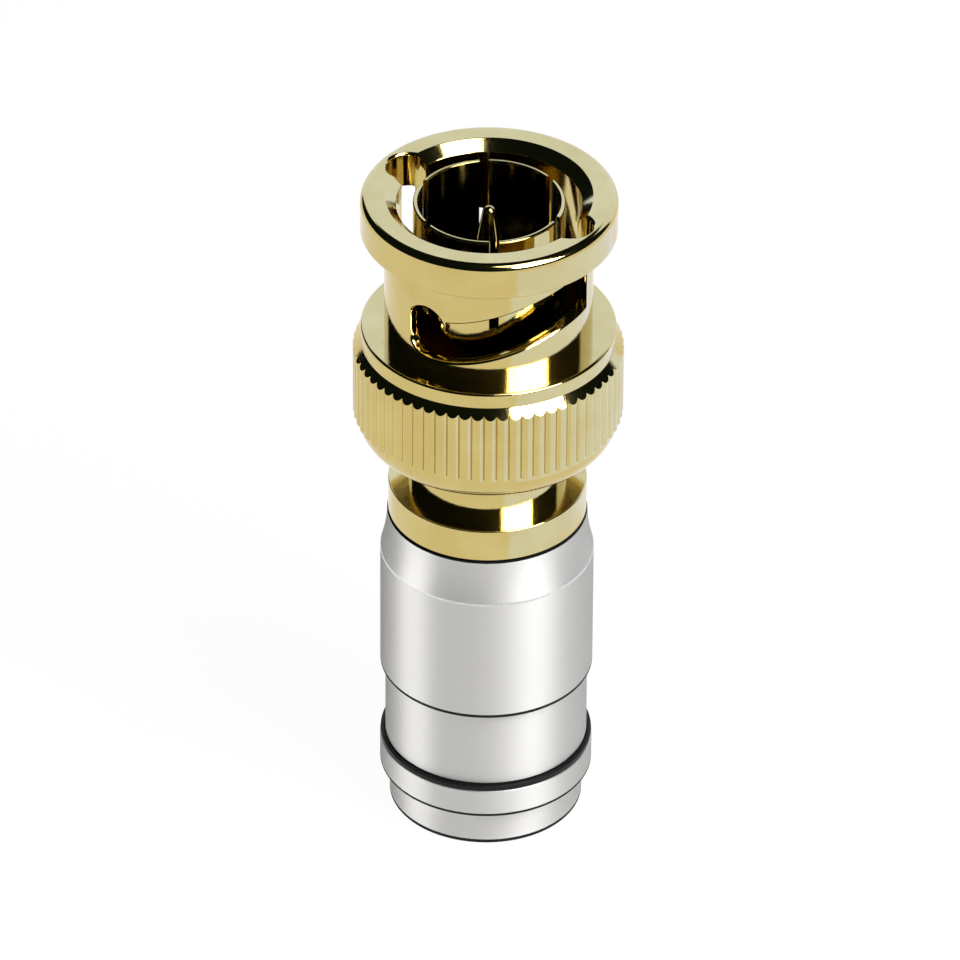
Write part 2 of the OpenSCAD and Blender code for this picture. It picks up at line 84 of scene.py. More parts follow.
def radius(node):
    low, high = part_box(node)
    return max(high.x, -low.x, high.y, -low.y) / MM


# ---------------------------------------------------------------- profiles

def rounded(corners):
    """A closed outline of (r, z, fillet radius) corners, as points and the normals on each side of them.

    The outline runs anticlockwise with r to the right and z up, so normals point to its right.
    A point's two normals are those of the stretch that ends there and of the one that starts there.
    """
    points, normals = [], []
    count = len(corners)
    for i, (r, z, fillet) in enumerate(corners):
        here = np.array([r, z], float)
        before = np.array(corners[i - 1][:2], float) - here
        after = np.array(corners[(i + 1) % count][:2], float) - here
        before_len, after_len = np.linalg.norm(before), np.linalg.norm(after)
        a, b = -before / before_len, after / after_len
        turn = math.atan2(a[0] * b[1] - a[1] * b[0], a @ b)
        if fillet <= 0 or abs(turn) < 1e-4:
            middle = (a + b) / np.linalg.norm(a + b)
            sides = (a, b) if abs(math.degrees(turn)) > SHARP_TURN else (middle, middle)
            points.append(here)
            normals.append([(side[1], -side[0]) for side in sides])
            continue
        reach = min(abs(math.tan(turn / 2)) * fillet, REACH_SHARE * before_len, REACH_SHARE * after_len)
        fillet = reach / abs(math.tan(turn / 2))
        start = here - a * reach
        side = math.copysign(1, turn)
        centre = start + side * fillet * np.array([-a[1], a[0]])
        steps = max(2, math.ceil(abs(math.degrees(turn)) / FILLET_STEP))
        for k in range(steps + 1):
            angle = turn * k / steps
            c, s = math.cos(angle), math.sin(angle)
            normal = np.array([a[0] * s + a[1] * c, a[1] * s - a[0] * c])
            points.append(centre + side * fillet * normal)
            normals.append([normal, normal])
    return np.array(points), np.array(normals)


def arc(r, z, rad, start, end, steps):
    """Points of an arc about (r, z), in degrees, as plain corners."""
    angles = np.radians(np.linspace(start, end, steps + 1))
    return [(r + rad * math.cos(a), z + rad * math.sin(a), 0) for a in angles]


# ---------------------------------------------------------------- meshes

def mesh_object(name, vertices, faces):
    mesh = bpy.data.meshes.new(name)
    mesh.from_pydata((np.asarray(vertices) * MM).tolist(), [], faces)
    mesh.update()
    obj = bpy.data.objects.new(name, mesh)
    bpy.context.scene.collection.objects.link(obj)
    return obj


def ring_faces(rows, columns, closed_rows=True):
    """Quads between rows of vertices that each run round the axis."""
    faces = []
    for i in range(rows if closed_rows else rows - 1):
        k = (i + 1) % rows
        for j in range(columns):
            l = (j + 1) % columns
            faces.append((i * columns + j, i * columns + l, k * columns + l, k * columns + j))
    return faces


def turned(name, corners, columns=COLUMNS):
    """A turned part: a closed profile swept round the axis, shaded with its true normals."""
    points, normals = rounded(corners)
    angles = np.linspace(0, 2 * math.pi, columns, endpoint=False)
    cos, sin = np.cos(angles), np.sin(angles)
    vertices = np.stack([
        np.outer(points[:, 0], cos), np.outer(points[:, 0], sin),
        np.repeat(points[:, 1:], columns, axis=1)], axis=-1).reshape(-1, 3)
    obj = mesh_object(name, vertices, ring_faces(len(points), columns))
    # a face between two rows has its first two corners on the lower row and the others on the next
    starts, ends = normals[:, 1], np.roll(normals[:, 0], -1, axis=0)
    corner_normals = np.zeros((len(points), columns, 4, 3))
    for corner, (row, shift) in enumerate([(starts, 0), (starts, -1), (ends, -1), (ends, 0)]):
        corner_normals[:, :, corner, 0] = np.outer(row[:, 0], np.roll(cos, shift))
        corner_normals[:, :, corner, 1] = np.outer(row[:, 0], np.roll(sin, shift))
        corner_normals[:, :, corner, 2] = row[:, 1:]
    obj.data.shade_smooth()
    obj.data.normals_split_custom_set(corner_normals.reshape(-1, 3).tolist())
    return obj


def closed(obj):
    """Merges doubled points and turns all faces outwards."""
    bm = bmesh.new()
    bm.from_mesh(obj.data)
    bmesh.ops.remove_doubles(bm, verts=bm.verts, dist=1e-9)
    bmesh.ops.recalc_face_normals(bm, faces=bm.faces)
    bm.to_mesh(obj.data)
    bm.free()
    return obj


def cut(obj, cutters):
    """Cuts closed meshes out of obj and removes them."""
    for cutter in cutters:
        modifier = obj.modifiers.new("cut", "BOOLEAN")
        modifier.operation = "DIFFERENCE"
        modifier.solver = "EXACT"
        modifier.object = cutter
    depsgraph = bpy.context.evaluated_depsgraph_get()
    mesh = bpy.data.meshes.new_from_object(obj.evaluated_get(depsgraph))
    obj.modifiers.clear()
    obj.data = mesh
    for cutter in cutters:
        bpy.data.objects.remove(cutter)


def profile_normals(obj, points, normals, smooth_angle=26, near=0.004, agree=0.9):
    """After cuts, gives each corner on the turned surface its true normal, and shades the rest by angle."""
    mesh = obj.data
    mesh.shade_smooth()
    mesh.set_sharp_from_angle(angle=math.radians(smooth_angle))
    count = len(mesh.loops)
    out = np.zeros(count * 3, np.float32)
    mesh.corner_normals.foreach_get("vector", out)
    out = out.reshape(-1, 3).astype(float)
    co = np.zeros(len(mesh.vertices) * 3, np.float32)
    mesh.vertices.foreach_get("co", co)
    loop_vertex = np.zeros(count, np.int32)
    mesh.loops.foreach_get("vertex_index", loop_vertex)
    co = co.reshape(-1, 3)[loop_vertex] / MM
    totals = np.zeros(len(mesh.polygons), np.int32)
    mesh.polygons.foreach_get("loop_total", totals)
    face_normals = np.zeros(len(mesh.polygons) * 3, np.float32)
    mesh.polygons.foreach_get("normal", face_normals)
    face_normals = np.repeat(face_normals.reshape(-1, 3), totals, axis=0)

    # of the stretches of the profile that a corner lies on, its face's own is the one that agrees best
    r = np.hypot(co[:, 0], co[:, 1])
    outward = co[:, :2] / np.maximum(r, 1e-9)[:, None]
    flat = np.stack([r, co[:, 2]], axis=1)
    best = np.full(count, agree)
    for i in range(len(points)):
        a, along = points[i - 1], points[i] - points[i - 1]
        if along @ along < 1e-12:
            continue
        t = np.clip(((flat - a) @ along) / (along @ along), 0, 1)[:, None]
        on_stretch = np.linalg.norm(flat - a - t * along, axis=1) < near
        mixed = normals[i - 1][1] * (1 - t) + normals[i][0] * t
        true = np.column_stack([outward * mixed[:, :1], mixed[:, 1]])
        true /= np.maximum(np.linalg.norm(true, axis=1, keepdims=True), 1e-9)
        agreement = (true * face_normals).sum(1)
        better = on_stretch & (agreement > best)
        best[better] = agreement[better]
        out[better] = true[better]
    mesh.normals_split_custom_set(out.tolist())


def place(obj, body, material, slot, *nodes):
    """Gives a piece its materials, its body and the nodes that it stands for. Its slot is not used."""
    obj.data.materials.clear()
    for m in material if isinstance(material, list) else [material]:
        obj.data.materials.append(m)
    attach(obj, body)
    if nodes:
        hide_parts(*nodes)
    return obj


# ---------------------------------------------------------------- materials

def new_material(name, color, metallic, roughness):
    material = bpy.data.materials.new(name)
    material.use_nodes = True
    nodes, links = material.node_tree.nodes, material.node_tree.links
    shader = nodes["Principled BSDF"]
    shader.inputs["Base Color"].default_value = (*color, 1)
    shader.inputs["Metallic"].default_value = metallic
    shader.inputs["Roughness"].default_value = roughness
    return material, nodes, links, shader


def link_math(nodes, links, operation, first, second):
    """The result of a math node on two values."""
    node = nodes.new("ShaderNodeMath")
    node.operation = operation
    for socket, value in zip(node.inputs, (first, second)):
        if isinstance(value, (int, float)):
            socket.default_value = value
        else:
            links.new(value, socket)
    return node.outputs["Value"]


def object_noise(nodes, links, scale, stretch=(1, 1, 1), detail=3, roughness=0.5):
    """Noise in the part's own space, scaled per millimetre along each axis."""
    where = nodes.new("ShaderNodeTexCoord")
    mapping = nodes.new("ShaderNodeMapping")
    mapping.inputs["Scale"].default_value = [s / MM for s in stretch]
    noise = nodes.new("ShaderNodeTexNoise")
    noise.inputs["Scale"].default_value = scale
    noise.inputs["Detail"].default_value = detail
    noise.inputs["Roughness"].default_value = roughness
    links.new(where.outputs["Object"], mapping.inputs["Vector"])
    links.new(mapping.outputs["Vector"], noise.inputs["Vector"])
    return noise.outputs["Fac"]


def turning_lines(nodes, links, scale, wander=0.15):
    """Fine rings left by the tool: noise of height and radius, with a little drift round the axis."""
    where = nodes.new("ShaderNodeTexCoord")
    split = nodes.new("ShaderNodeSeparateXYZ")
    links.new(where.outputs["Object"], split.inputs["Vector"])
    across = nodes.new("ShaderNodeVectorMath")
    across.operation = "LENGTH"
    flat = nodes.new("ShaderNodeCombineXYZ")
    links.new(split.outputs["X"], flat.inputs["X"])
    links.new(split.outputs["Y"], flat.inputs["Y"])
    links.new(flat.outputs["Vector"], across.inputs[0])
    angle = link_math(nodes, links, "ARCTAN2", split.outputs["Y"], split.outputs["X"])
    drift = link_math(nodes, links, "MULTIPLY", angle, wander * MM)
    where_cut = nodes.new("ShaderNodeCombineXYZ")
    links.new(across.outputs["Value"], where_cut.inputs["X"])
    links.new(drift, where_cut.inputs["Y"])
    links.new(split.outputs["Z"], where_cut.inputs["Z"])
    mapping = nodes.new("ShaderNodeMapping")
    mapping.inputs["Scale"].default_value = [1 / MM] * 3
    links.new(where_cut.outputs["Vector"], mapping.inputs["Vector"])
    noise = nodes.new("ShaderNodeTexNoise")
    noise.inputs["Scale"].default_value = scale
    noise.inputs["Detail"].default_value = 4
    links.new(mapping.outputs["Vector"], noise.inputs["Vector"])
    return noise.outputs["Fac"]


def spread(nodes, links, value, low, high):
    """Maps a noise of about 0.3 to 0.7 onto low to high."""
    node = nodes.new("ShaderNodeMapRange")
    node.inputs["From Min"].default_value = 0.3
    node.inputs["From Max"].default_value = 0.7
    node.inputs["To Min"].default_value = low
    node.inputs["To Max"].default_value = high
    links.new(value, node.inputs["Value"])
    return node.outputs["Result"]


def blend_colors(nodes, links, value, first, second):
    """A colour between two, by a noise."""
    node = nodes.new("ShaderNodeMix")
    node.data_type = "RGBA"
    node.inputs["A"].default_value = (*first, 1)
    node.inputs["B"].default_value = (*second, 1)
    links.new(spread(nodes, links, value, 0, 1), node.inputs["Factor"])
    return node.outputs["Result"]


def bumps(nodes, links, shader, layers):
    """Stacks bump layers of (height value, depth in millimetres)."""
    previous = None
    for value, depth in layers:
        bump = nodes.new("ShaderNodeBump")
        bump.inputs["Strength"].default_value = 1
        bump.inputs["Distance"].default_value = depth * MM
        links.new(value, bump.inputs["Height"])
        if previous:
            links.new(previous, bump.inputs["Normal"])
        previous = bump.outputs["Normal"]
    links.new(previous, shader.inputs["Normal"])


def gold(name, roughness, grain, color=(0.63, 0.51, 0.20), second=(0.58, 0.45, 0.16)):
    """Gold plating over turned brass: fine rings, a soft grain and a slightly uneven tone."""
    material, nodes, links, shader = new_material(name, color, 1, roughness)
    cloud = object_noise(nodes, links, 0.5, detail=4)
    links.new(blend_colors(nodes, links, cloud, color, second), shader.inputs["Base Color"])
    speckle = object_noise(nodes, links, 9, detail=3)
    links.new(spread(nodes, links, speckle, 0.8 * roughness, 1.3 * roughness), shader.inputs["Roughness"])
    bumps(nodes, links, shader, [
        (turning_lines(nodes, links, 9), 0.0012 * grain),
        (speckle, 0.0016 * grain),
    ])
    return material


def nickel(name, roughness, anisotropy):
    """Satin nickel: brushed round the axis, so highlights spread along it."""
    material, nodes, links, shader = new_material(name, (0.82, 0.81, 0.80), 0.85, roughness)
    shader.inputs["Specular Tint"].default_value = (0.04, 0.03, 0.01, 1)
    shader.inputs["Anisotropic"].default_value = anisotropy
    shader.inputs["Anisotropic Rotation"].default_value = 0.25
    tangent = nodes.new("ShaderNodeTangent")
    tangent.direction_type = "RADIAL"
    tangent.axis = "Z"
    links.new(tangent.outputs["Tangent"], shader.inputs["Tangent"])
    lines = turning_lines(nodes, links, 14)
    links.new(blend_colors(nodes, links, lines, (0.83, 0.82, 0.80), (0.80, 0.79, 0.77)),
              shader.inputs["Base Color"])
    bumps(nodes, links, shader, [(lines, 0.0003)])
    return material


def plain(name, color, metallic, roughness, grain_scale, grain_depth, specular=0.5):
    """Plastic, rubber or steel with a fine grain and a slightly uneven gloss."""
    material, nodes, links, shader = new_material(name, color, metallic, roughness)
    shader.inputs["Specular IOR Level"].default_value = specular
    grain = object_noise(nodes, links, grain_scale, detail=4)
    links.new(spread(nodes, links, grain, 0.8 * roughness, 1.2 * roughness), shader.inputs["Roughness"])
    darker = [0.8 * c for c in color]
    links.new(blend_colors(nodes, links, grain, color, darker), shader.inputs["Base Color"])
    bumps(nodes, links, shader, [(grain, grain_depth)])
    return material


GOLD = gold("gold_plate", 0.08, 1)
# near-black gold for the nut's bore wall and the contact's inner faces: painted shade inside those hollows
GOLD_PAINTED_SHADE = gold("gold_painted_shade", 0.12, 1, color=(0.11, 0.10, 0.05), second=(0.08, 0.07, 0.03))
GOLD_KNURL = gold("gold_knurl", 0.28, 3, color=(0.60, 0.50, 0.22), second=(0.52, 0.41, 0.15))
NICKEL = nickel("nickel_plate", 0.5, 0.82)
NICKEL_BRIGHT = plain("nickel_bright", (0.78, 0.78, 0.79), 1, 0.25, 6, 0.0005)
NICKEL_CREASE = plain("nickel_crease", (0.80, 0.79, 0.77), 1, 0.38, 6, 0.0005)
# near-black bands on the nickel at its edges, steps and seams: painted shadow lines
NICKEL_PAINTED_SHADOW = plain("nickel_painted_shadow", (0.02, 0.02, 0.02), 0, 0.7, 6, 0.0005, 0.15)
STEEL = plain("spring_steel", (0.48, 0.49, 0.51), 1, 0.3, 8, 0.001)
BLACK_RING = plain("black_ring", (0.008, 0.008, 0.009), 0, 0.45, 8, 0.002, 0.25)
RUBBER = plain("black_rubber", (0.02, 0.02, 0.02), 0, 0.7, 10, 0.004)
SILICONE = plain("silicone", (0.06, 0.014, 0.008), 0, 0.55, 8, 0.003, 0.2)
# near-black, where the insulator is white plastic, so that the hollow inside the contact renders dark:
# painted shade
INSULATOR = plain("insulator_plastic", (0.02, 0.02, 0.022), 0, 0.5, 6, 0.002)


# ---------------------------------------------------------------- sizes that several pieces share

FIT = 0.02  # gap between seated parts
RUN = 0.04  # radial gap between parts that slide or turn

FRONT_Z = high_z("coupling_nut")
NUT_Z = low_z("coupling_nut")
GRIP_R = radius("coupling_nut")
CONTACT_Z = low_z("outer_contact")
CONTACT_TOP = high_z("outer_contact")
GASKET_Z = low_z("front_gasket")
GASKET_TOP = high_z("front_gasket")
SOCKET_TOP = high_z("main_body")
SEAT_Z = low_z("main_body")
SHELL_Z = low_z("shell")
BAND_Z = high_z("shell") + FIT
RING_Z = low_z("indicator_ring")
TUBE_Z = high_z("indicator_ring")
SLEEVE_TOP = high_z("compression_sleeve")
SNAP_Z = low_z("snap_ring")
WASHER_Z = low_z("thrust_washer")
FRONT_INSULATOR_Z = low_z("front_insulator")
POST_TOP = high_z("post")

CHAMBER_R = radius("thrust_washer") + RUN
JOURNAL_R = 4.25
BAND_R = 5.35
SEAT_R = 4.95
SOCKET_R = 3.55
INSULATOR_R = 2.9
POST_HEAD_R = 3.3
SHELL_BORE_R = 5.53
SLEEVE_R = 5.49
SLEEVE_BORE_R = 4.65
CONTACT_R = 4.05
FINGER_R = 3.8
GASKET_FLOOR_R = 3.85
POST_BORE_R = 2.35
PIN_SHOULDER_R, PIN_SHOULDER_LEN = 1.05, 1  # the collar that the insulators hold the pin by
PIN_STEM_R = 0.85
ORING_GROOVE = 0.5  # width and depth of an O-ring's groove


# ---------------------------------------------------------------- coupling nut

KNURL_PHASE = math.radians(1.3)
GROOVE_DEPTH = 0.15
NECK_R = 5.57
BORE_R = 4.93
MOUTH_R, MOUTH_DEPTH = 5.53, 0.52  # lead-in chamfer
SNAP_GROOVE = 0.35  # depth of the snap ring's groove
FLANGE_R = 6.85
FLANGE_Z = FRONT_Z - 2.05
SHOULDER_R = 6.83
SHOULDER_Z = FLANGE_Z - 6.1
RIM_Z = SHOULDER_Z - 0.85
GRIP_TOP = RIM_Z - 0.55
GRIP_Z = GRIP_TOP - 3.95

NOTCH_R, NOTCH_OFFSET, NOTCH_DEPTH = 1.2, 5.1, 5.75
SLOT_W, CAM_START, CAM_DROP, CAM_TURN, DETENT_DEPTH = 2.4, 4.42, 1.7, 93.5, 5.42
SLOT_END = math.degrees(SLOT_W / 2 / NECK_R)
EDGE = 0.18  # rounding of the slots' edges
EDGE_STEPS = (0, 25, 50, 70)  # degrees round that edge


def nut_corners():
    """The nut's section, before the slots: the taper behind the knurl, and the rest."""
    root = GRIP_R - GROOVE_DEPTH
    taper_top, rear_r = root - 0.02, 6.5
    taper_in, taper_len = taper_top - rear_r, GRIP_Z - NUT_Z
    taper_r = (taper_len ** 2 + taper_in ** 2) / (2 * taper_in)
    taper_angle = math.degrees(math.asin(taper_len / taper_r))
    taper = arc(taper_top - taper_r, GRIP_Z, taper_r, -taper_angle, 0, 8)
    r, z, _ = taper[0]
    taper[0] = (r, z, 0.12)
    return taper + [
        (GRIP_R, GRIP_Z, 0),
        (GRIP_R, GRIP_TOP, 0),
        (SHOULDER_R, RIM_Z, 0.05),
        (SHOULDER_R, SHOULDER_Z, 0.15),
        (NECK_R, SHOULDER_Z, 0),
        (NECK_R, FLANGE_Z, 0.12),
        (FLANGE_R, FLANGE_Z, 0.1),
        (FLANGE_R, FRONT_Z, 0.42),
        (MOUTH_R, FRONT_Z, 0.08),
        (BORE_R, FRONT_Z - MOUTH_DEPTH, 0.08),
        (BORE_R, GASKET_Z + RUN, 0.05),
        (CHAMBER_R, GASKET_Z + RUN, 0.05),
        (CHAMBER_R, WASHER_Z, 0.03),
        (CHAMBER_R + SNAP_GROOVE, WASHER_Z, 0.03),
        (CHAMBER_R + SNAP_GROOVE, SNAP_Z - FIT, 0.03),
        (CHAMBER_R, SNAP_Z - FIT, 0.03),
        (CHAMBER_R, NUT_Z, 0.12),
    ]


def lobe_radius(angle):
    """The knurl's outline: shallow arcs that meet in sharp grooves."""
    half = math.pi * GRIP_R / GROOVES
    arc_r = (half ** 2 + GROOVE_DEPTH ** 2) / (2 * GROOVE_DEPTH)
    u = ((angle - KNURL_PHASE) * GROOVES / (2 * math.pi)) % 1.0
    across = (2 * u - 1) * half
    return GRIP_R - arc_r + np.sqrt(arc_r ** 2 - across ** 2)


def slot_edges(turn):
    """Upper and lower edge of a cam slot at a turn from its notch, as depths below the front face."""
    t = turn / CAM_TURN
    past = min(1, abs(turn - CAM_TURN) / SLOT_END)
    end = SLOT_W / 2 * math.sqrt(1 - past ** 2)
    slope = CAM_DROP * 6 * t * (1 - t) / (math.radians(CAM_TURN) * NECK_R)
    half = SLOT_W / 2 * math.sqrt(1 + slope ** 2)
    middle = CAM_START + CAM_DROP * t * t * (3 - 2 * t)
    upper = middle - half if turn < CAM_TURN - SLOT_END else DETENT_DEPTH - end
    lower = middle + half if turn < CAM_TURN else CAM_START + CAM_DROP + end
    return upper, lower


def slot_cutter(start):
    """A cam slot's space, wider where it leaves the wall's two faces so that its edges come out round."""
    run = CAM_TURN - SLOT_END
    turns = [(run - 0.01) * k / 40 for k in range(41)]
    turns += [CAM_TURN - SLOT_END * math.cos(math.pi * k / 32) for k in range(33)]
    # (radius, widening) across the wall
    wall = [(BORE_R - 0.5, EDGE + 0.5)]
    wall += [(BORE_R + EDGE - EDGE * math.sin(math.radians(a)), EDGE * (1 - math.cos(math.radians(a))))
             for a in reversed(EDGE_STEPS)]
    wall += [(NECK_R - EDGE + EDGE * math.sin(math.radians(a)), EDGE * (1 - math.cos(math.radians(a))))
             for a in EDGE_STEPS]
    wall += [(NECK_R + 0.4, EDGE + 0.6)]
    vertices, rows = [], len(turns)
    for turn in turns:
        upper, lower = slot_edges(turn)
        # towards the slot's far end the widening also goes round the end
        past = max(0, (turn - CAM_TURN) / SLOT_END)
        ring = [(r, wide, FRONT_Z - lower - wide * (1 - past)) for r, wide in wall]
        ring += [(r, wide, FRONT_Z - upper + wide * (1 - past)) for r, wide in reversed(wall)]
        for r, wide, z in ring:
            angle = start - math.radians(turn) - past * wide / NECK_R
            vertices.append((r * math.cos(angle), r * math.sin(angle), z))
    size = 2 * len(wall)
    faces = []
    for i in range(rows - 1):
        for j in range(size):
            l = (j + 1) % size
            faces.append((i * size + j, i * size + l, (i + 1) * size + l, (i + 1) * size + j))
    # a strip of quads closes each end, since the ring isn't flat
    for i in (0, rows - 1):
        for j in range(len(wall) - 1):
            a, b = i * size + j, i * size + j + 1
            c, d = i * size + size - 2 - j, i * size + size - 1 - j
            faces.append((a, b, c, d))
    return closed(mesh_object("slot_cutter", vertices, faces))


def notch_cutter(start):
    """An entry notch's space, with a round edge at the front face."""
    profile = [(0, FRONT_Z - NOTCH_DEPTH), (NOTCH_R, FRONT_Z - NOTCH_DEPTH)]
    for step in EDGE_STEPS:
        a = math.radians(step)
        profile.append((NOTCH_R + EDGE * (1 - math.cos(a)), FRONT_Z - EDGE + EDGE * math.sin(a)))
    profile.append((NOTCH_R + 0.8, FRONT_Z + 0.4))
    profile.append((0, FRONT_Z + 0.4))
    columns = 64
    x, y = NOTCH_OFFSET * math.cos(start), NOTCH_OFFSET * math.sin(start)
    vertices = []
    for r, z in profile:
        for j in range(columns):
            a = 2 * math.pi * (j + 0.5) / columns
            vertices.append((x + r * math.cos(a), y + r * math.sin(a), z))
    obj = mesh_object("notch_cutter", vertices, ring_faces(len(profile), columns, closed_rows=False))
    return closed(obj)


def coupling_nut():
    points, normals = rounded(nut_corners())
    columns = GROOVES * LOBE_STEPS
    angles = KNURL_PHASE + np.arange(columns) * 2 * math.pi / columns
    lobes = lobe_radius(angles + 1e-9)
    slope = (GRIP_R - SHOULDER_R) / (RIM_Z - GRIP_TOP)
    vertices = []
    for r, z in points:
        for angle, lobe in zip(angles, lobes):
            # the knurl's rows are pulled in to its lobes, and up along the chamfer in front of it
            pull = r - lobe if r > GRIP_R - 1e-6 else 0
            rise = pull / slope if z > GRIP_Z + 0.1 else 0
            vertices.append(((r - pull) * math.cos(angle), (r - pull) * math.sin(angle), z + rise))
    obj = mesh_object("coupling_nut_turned", vertices, ring_faces(len(points), columns))
    closed(obj)
    cutters = []
    for start in (0, math.pi):
        cutters += [slot_cutter(start), notch_cutter(start)]
    cut(obj, cutters)
    profile_normals(obj, points, normals)
    knurl_faces(obj)
    return place(obj, "coupling_nut", [GOLD, GOLD_KNURL, GOLD_PAINTED_SHADE], "gold_plate", "coupling_nut")


def knurl_faces(obj):
    """Gives the knurl's own faces the second material, and the bore's wall the third, the near-black gold of
    painted shade.
    """
    for face in obj.data.polygons:
        c = face.center / MM
        r = math.hypot(c.x, c.y)
        in_band = GRIP_Z < c.z < GRIP_TOP + 0.36 and r > GRIP_R - GROOVE_DEPTH - 0.01
        in_bore = r < BORE_R + 0.02 and abs(face.normal.z) < 0.2
        face.material_index = 1 if in_band and abs(face.normal.z) < 0.2 else 2 if in_bore else 0


# ---------------------------------------------------------------- other turned parts

def lathe(node, body, material, slot, corners, columns=COLUMNS):
    """A turned part that stands for one node of the frame."""
    obj = turned(node + "_turned", corners, columns)
    return place(obj, body, material, slot, node)


def finish_and_shadow_band(obj, index, from_r, low, high):
    """Gives the faces outside a radius, between two heights, another of the part's materials; it gives the
    flare's smoother crease and the near-black painted shadow lines.
    """
    for face in obj.data.polygons:
        c = face.center / MM
        if low < c.z < high and math.hypot(c.x, c.y) > from_r:
            face.material_index = index


def box_cutter(angle, x0, x1, half_width, z0, z1):
    """A straight slot's space, from radius x0 to x1 in the direction of angle."""
    c, s = math.cos(angle), math.sin(angle)
    vertices = []
    for z in (z0, z1):
        for x, y in ((x0, -half_width), (x1, -half_width), (x1, half_width), (x0, half_width)):
            vertices.append((x * c - y * s, x * s + y * c, z))
    faces = [(0, 1, 2, 3), (4, 5, 6, 7), (0, 1, 5, 4), (1, 2, 6, 5), (2, 3, 7, 6), (3, 0, 4, 7)]
    return closed(mesh_object("box_cutter", vertices, faces))


def slotted(node, body, corners, cutters, materials):
    """A turned gold part with slots cut in it."""
    points, normals = rounded(corners)
    obj = closed(turned(node + "_turned", corners, 240))
    cut(obj, cutters)
    profile_normals(obj, points, normals)
    return place(obj, body, materials, "gold_plate", node)


def outer_contact():
    slots, half_width, length = 6, 0.26, 5.6
    first = math.radians(7)  # where the frame's first slot is
    corners = [
        (SOCKET_R + FIT, CONTACT_Z, 0.03),
        (CHAMBER_R - RUN, CONTACT_Z, 0.06),
        (CHAMBER_R - RUN, GASKET_Z, 0.06),
        (GASKET_FLOOR_R, GASKET_Z, 0.04),
        (GASKET_FLOOR_R, GASKET_TOP, 0.03),
        (CONTACT_R, GASKET_TOP, 0.04),
        (CONTACT_R, CONTACT_TOP, 0.12),
        (FINGER_R, CONTACT_TOP, 0.09),
        (FINGER_R, SOCKET_TOP + FIT, 0.04),
        (SOCKET_R + FIT, SOCKET_TOP + FIT, 0.03),
    ]
    cutters = [box_cutter(first + i * 2 * math.pi / slots, FINGER_R - 0.6, CONTACT_R + 0.6, half_width,
                          CONTACT_TOP - length, CONTACT_TOP + 1) for i in range(slots)]
    obj = slotted("outer_contact", "connector_body", corners, cutters, [GOLD, GOLD_PAINTED_SHADE])
    # the contact's inward faces below its top get the near-black gold: painted shade inside the contact
    for face in obj.data.polygons:
        c = face.center / MM
        inward = face.normal.x * c.x + face.normal.y * c.y < -0.5 * math.hypot(c.x, c.y)
        face.material_index = 1 if inward and c.z < CONTACT_TOP - 0.1 else 0


def center_pin():
    collet_z, tip = low_z("center_pin"), high_z("center_pin")
    collet_r, bore_r, bore_len, slit_half = 0.9, 0.5, 2.0, 0.08
    shoulder_z, pin_r, nose_r = FRONT_INSULATOR_Z, 0.67, 0.37
    corners = [
        (0, collet_z + bore_len, 0),
        (bore_r, collet_z + bore_len, 0),
        (bore_r, collet_z, 0.04),
        (collet_r, collet_z, 0.06),
        (collet_r, shoulder_z, 0.03),
        (PIN_SHOULDER_R, shoulder_z, 0.05),
        (PIN_SHOULDER_R, shoulder_z + PIN_SHOULDER_LEN, 0.05),
        (PIN_STEM_R, shoulder_z + PIN_SHOULDER_LEN, 0.03),
        (PIN_STEM_R, SOCKET_TOP, 0.06),
        (pin_r, SOCKET_TOP, 0.05),
        (pin_r, tip - 1.9, 0.6),
    ] + arc(0, tip - nose_r, nose_r, 20, 90, 7)
    cutters = [box_cutter(a, -1.4, 1.4, slit_half, collet_z - 1, collet_z + bore_len - 0.16)
               for a in (0, math.pi / 2)]
    slotted("center_pin", "connector_body", corners, cutters, GOLD)


coupling_nut()
outer_contact()
center_pin()


def groove_corners(r, floor_r, middle_z):
    """Corners of a square groove for an O-ring."""
    half = ORING_GROOVE / 2
    return [(r, middle_z - half, 0.03), (floor_r, middle_z - half, 0.03),
            (floor_r, middle_z + half, 0.03), (r, middle_z + half, 0.03)]


def main_body():
    oring_z = SEAT_Z + 1.2
    journal_z = BAND_Z + 1.9
    lathe("main_body", "connector_body", GOLD, "gold_plate", [
        (POST_HEAD_R, SEAT_Z, 0.04),
        (SEAT_R, SEAT_Z, 0.1),
        *groove_corners(SEAT_R, SEAT_R - ORING_GROOVE, oring_z),
        (SEAT_R, BAND_Z, 0.02),
        (BAND_R, BAND_Z, 0.07),
        (BAND_R, journal_z, 0.08),
        (JOURNAL_R, journal_z, 0),
        (JOURNAL_R, CONTACT_Z - FIT, 0.06),
        (SOCKET_R, CONTACT_Z - FIT, 0.04),
        (SOCKET_R, SOCKET_TOP, 0.08),
        (INSULATOR_R, SOCKET_TOP, 0.06),
        (INSULATOR_R, POST_TOP + FIT, 0.03),
        (POST_HEAD_R, POST_TOP + FIT, 0.03),
    ])


